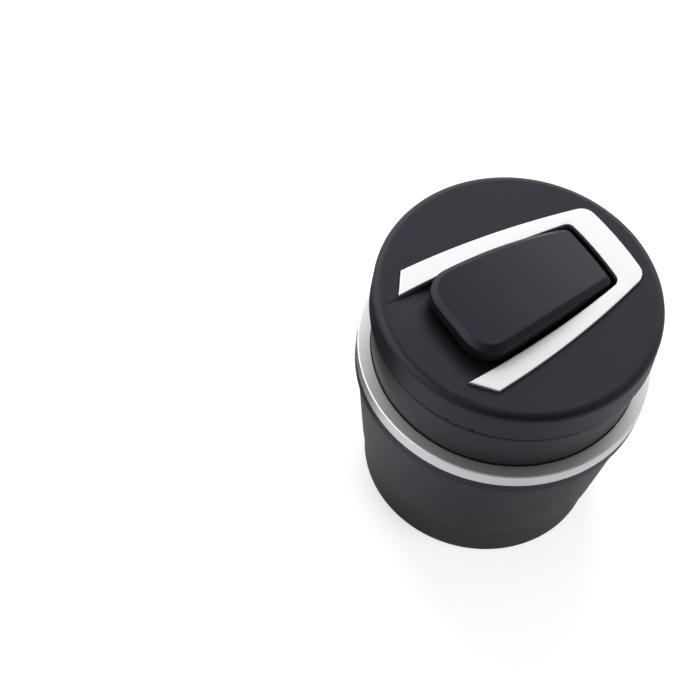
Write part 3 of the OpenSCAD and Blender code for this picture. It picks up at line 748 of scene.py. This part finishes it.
def make_insert():
    """Pressed steel insert: a funnel with a lipped hole and three rests for a cigarette."""
    flange, flange_z = LEDGE_R - 0.2, Z_LEDGE + SHEET_T
    funnel, drop, lip = Z_LEDGE - FUNNEL_DEPTH, Z_LEDGE - DROP_DEPTH, Z_LEDGE - HOLE_LIP_DEPTH
    insert = revolve("ash_insert_soft", rounded([
        (flange, Z_LEDGE, 0.2), (flange, flange_z, 0.3), (FUNNEL_R - SHEET_T, flange_z, 0.8),
        (FUNNEL_R - SHEET_T, funnel, BEND_R), (HOLE_R + SHEET_T, drop + SHEET_T - DROP_SLOPE, 1.2),
        (HOLE_R + SHEET_T, lip, 0.35),
        (HOLE_R, lip, 0.35), (HOLE_R, drop - DROP_SLOPE, 0.6),
        (FUNNEL_R, funnel - SHEET_T, BEND_R + SHEET_T), (FUNNEL_R, Z_LEDGE, 0.2),
    ], steps=7))
    rests = grown(
        "rests", RING_PATTERN, count=REST_COUNT, distance=REST_AT * MM, height=(lip + SHEET_T) * MM,
        first_angle=TAU / 4, tilt=TAU / 4, bar_radius=REST_R * MM, bar_length=REST_L * MM,
        material=MATS["stainless"],
    )
    boolean(insert, [rests], "DIFFERENCE")
    place(soften(insert, 0.15, 40), "container", "stainless", "ash_insert")


# Outer cup and ring
def cup_r(z):
    return CUP_FOOT_R + (CUP_TOP_R - CUP_FOOT_R) * z / Z_FLANGE


def nest_r(z):
    """Radius of the cup's inner wall, which leaves the container its gap."""
    return body_r(z) + NEST_GAP


def make_cup():
    """Outer cup: foot band groove, flange, tapered bore, moulding marks and a small nub in a dimple."""
    mouth, floor, lip = Z_RING - MOUTH_DEPTH, CUP_FLOOR_Z, Z_RING - RING_TOP_T
    dimple, groove_top = floor - DIMPLE_DEPTH, FOOT_BAND + 0.8
    cup = revolve("outer_cup_soft", rounded([
        (0, 0), (CUP_FOOT_R, 0, 1.5), (cup_r(FOOT_BAND) - FOOT_GROOVE, FOOT_BAND, 0.15),
        (cup_r(groove_top), groove_top, 0.25), (cup_r(Z_FLANGE), Z_FLANGE - 0.3, 0.4),
        (FLANGE_R, Z_FLANGE, 0.3), (FLANGE_R, Z_SEAT), (RING_BORE_R, Z_SEAT), (RING_BORE_R, lip),
        (MOUTH_R, lip), (MOUTH_R, mouth), (nest_r(mouth), mouth, 0.1),
        (nest_r(floor), floor, 3.0), (0, floor),
    ], steps=8))
    bar = 2.0
    marks = grown(
        "marks", RING_PATTERN, count=MARK_COUNT, distance=MARK_AT * MM,
        height=(floor + bar / 2 - MARK_SINK) * MM, first_angle=0.0, tilt=0.0,
        bar_radius=MARK_R * MM, bar_length=bar * MM, material=MATS["cup_black"],
    )
    hollow = [(NUB_R, dimple), (DIMPLE_R, dimple), (DIMPLE_R, floor + 2), (NUB_R, floor + 2)]
    merged(boolean(cup, [marks, revolve("dimple", hollow, 64)], "DIFFERENCE"))
    nub = rounded([(0, dimple), (NUB_R, dimple), (NUB_R, floor + NUB_H, 0.3), (0, floor + NUB_H)], steps=4)
    boolean(cup, [revolve("nub", nub, 48)], "UNION")
    place(crisp(merged(cup)), "cup", "cup_black", "outer_cup")


def make_ring():
    """Silver ring over the cup's lip."""
    under = Z_RING - RING_TOP_T
    ring = revolve("trim_ring_soft", rounded([
        (MOUTH_R, under), (MOUTH_R, Z_RING, 0.25), (RING_R, Z_RING, 0.45), (RING_R, Z_SEAT, 0.15),
        (RING_BORE_R, Z_SEAT), (RING_BORE_R, under),
    ]), 288)
    place(crisp(ring), "cup", "satin_silver", "trim_ring")


make_grip()
make_bracket()
make_lid()
make_screws()
make_container()
make_insert()
make_cup()
make_ring()


# Floor, world and lamps. The levels are those of light, where 1 is white
WHITE, SOFT_LIGHT = 1.0, 0.45
# What gloss sees: walls that pass from near to far, the ceiling, and a dark corner at the near right
NEAR_WALL, FAR_WALL, CEILING, CORNER = 0.36, 1.88, 0.36, 0.03
# Where each fades in, by the cosine of the angle to its middle, and the turn and tilt to two middles
WALL_FADE, CEILING_FADE, CORNER_FADE = (-0.60, 0.62), (0.70, 0.88), (0.56, 0.76)
FAR_SIDE, CORNER_SIDE = (180, 0), (-28, 15)
# Floor: its half width in metres, and how much white the camera sees on top of the lit paper
FLOOR_HALF, PAPER, FLOOR_LIFT = 3.0, "cacacd", 0.58
# Black card beside the object: turn in degrees, then distance, half width and height
FLAG_TURN, FLAG_AT, FLAG_HALF, FLAG_H = -142, 62, 42, 57
# Lamps: place and size in metres, power in watts. They aim at the middle of the object
LAMPS = {
    "key": ((-0.55, 0.25, 0.75), (0.7, 0.5), 6),
    "fill": ((0.75, 0.35, 0.6), (0.6, 0.5), 4),
    "front": ((0.5, -0.8, 0.5), (0.6, 0.4), 2),
}
LAMP_TARGET = (0, 0, 0.05)


def towards(azimuth, elevation):
    """Unit vector to a place in the studio, from its angles in degrees."""
    a, e = math.radians(azimuth), math.radians(elevation)
    return Vector((math.cos(e) * math.cos(a), math.cos(e) * math.sin(a), math.sin(e)))


def make_world():
    """White studio. Gloss sees bright walls on the far left, a dim ceiling and a dark near right side."""
    world = bpy.data.worlds.new("studio")
    world.use_nodes = True
    tree = world.node_tree
    tree.nodes.clear()
    seen = node(tree, "ShaderNodeLightPath").outputs
    ray = node(tree, "ShaderNodeTexCoord").outputs["Generated"]
    height = node(tree, "ShaderNodeSeparateXYZ", {"Vector": ray}).outputs["Z"]
    to_far, to_corner = (
        node(tree, "ShaderNodeVectorMath", {
            0: ray, 1: towards(*side),
        }, operation="DOT_PRODUCT").outputs["Value"]
        for side in (FAR_SIDE, CORNER_SIDE)
    )
    walls, ceiling, corner = (
        node(tree, "ShaderNodeMapRange", {
            "Value": source, "From Min": fade[0], "From Max": fade[1], "To Min": low, "To Max": high,
        }, interpolation_type="SMOOTHSTEP")
        for source, fade, low, high in (
            (to_far, WALL_FADE, NEAR_WALL, FAR_WALL),
            (height, CEILING_FADE, 0.0, 1.0),
            (to_corner, CORNER_FADE, 1.0, CORNER),
        )
    )
    room = node(tree, "ShaderNodeMix", {"Factor": ceiling, "A": walls, "B": CEILING}, data_type="FLOAT")
    level = node(tree, "ShaderNodeMath", {0: room, 1: corner}, operation="MULTIPLY")
    soft, gloss, white = (
        node(tree, "ShaderNodeBackground", {"Color": (1, 1, 1, 1), "Strength": strength})
        for strength in (SOFT_LIGHT, level, WHITE)
    )
    mirrored = node(tree, "ShaderNodeMath", {
        0: seen["Is Glossy Ray"], 1: seen["Is Transmission Ray"],
    }, operation="MAXIMUM")
    inner = node(tree, "ShaderNodeMixShader", {0: mirrored, 1: soft, 2: gloss})
    outer = node(tree, "ShaderNodeMixShader", {0: seen["Is Camera Ray"], 1: inner, 2: white})
    node(tree, "ShaderNodeOutputWorld", {"Surface": outer})
    bpy.context.scene.world = world


def staged(name, corners, material):
    """One flat face that isn't part of the object."""
    mesh = bpy.data.meshes.new(name)
    mesh.from_pydata(corners, [], [(0, 1, 2, 3)])
    mesh.materials.append(material)
    obj = bpy.data.objects.new(name, mesh)
    bpy.context.scene.collection.objects.link(obj)
    return obj


def make_flag():
    """Black card that stands beside the object and darkens one flank. Only gloss sees it."""
    middle, side = towards(FLAG_TURN, 0) * FLAG_AT, towards(FLAG_TURN + 90, 0) * FLAG_HALF
    corners = [middle - side, middle + side]
    corners += [c + Vector((0, 0, FLAG_H)) for c in reversed(corners)]
    material, tree = new_material("black_flock")
    flock = node(tree, "ShaderNodeBsdfDiffuse", {"Color": linear("141414")})
    node(tree, "ShaderNodeOutputMaterial", {"Surface": flock})
    flag = staged("flag", [tuple(c * MM) for c in corners], material)
    flag.visible_camera = flag.visible_diffuse = flag.visible_transmission = flag.visible_shadow = False


def make_floor():
    """White paper. It keeps the object's shadow, and only the camera sees it lifted to white."""
    material, tree = new_material("white_paper")
    paper = node(tree, "ShaderNodeBsdfDiffuse", {"Color": linear(PAPER)})
    seen = node(tree, "ShaderNodeLightPath").outputs["Is Camera Ray"]
    strength = node(tree, "ShaderNodeMapRange", {"Value": seen, "To Max": FLOOR_LIFT})
    lift = node(tree, "ShaderNodeEmission", {"Strength": strength})
    both = node(tree, "ShaderNodeAddShader", {0: paper, 1: lift})
    node(tree, "ShaderNodeOutputMaterial", {"Surface": both})
    half = FLOOR_HALF
    staged("floor", [(-half, -half, 0), (half, -half, 0), (half, half, 0), (-half, half, 0)], material)


def make_lamp(name, spot, size, power):
    """Soft box aimed at the object. Gloss doesn't see it."""
    data = bpy.data.lights.new(name, "AREA")
    data.shape = "RECTANGLE"
    data.size, data.size_y = size
    data.energy = power
    lamp = bpy.data.objects.new(name, data)
    lamp.location = spot
    lamp.rotation_mode = "QUATERNION"
    lamp.rotation_quaternion = (Vector(LAMP_TARGET) - Vector(spot)).to_track_quat("-Z", "Y")
    lamp.visible_glossy = False
    bpy.context.scene.collection.objects.link(lamp)


bpy.context.scene.view_settings.view_transform = "Standard"
make_world()
make_floor()
make_flag()
for lamp_name, (lamp_spot, lamp_size, lamp_power) in LAMPS.items():
    make_lamp(lamp_name, lamp_spot, lamp_size, lamp_power)
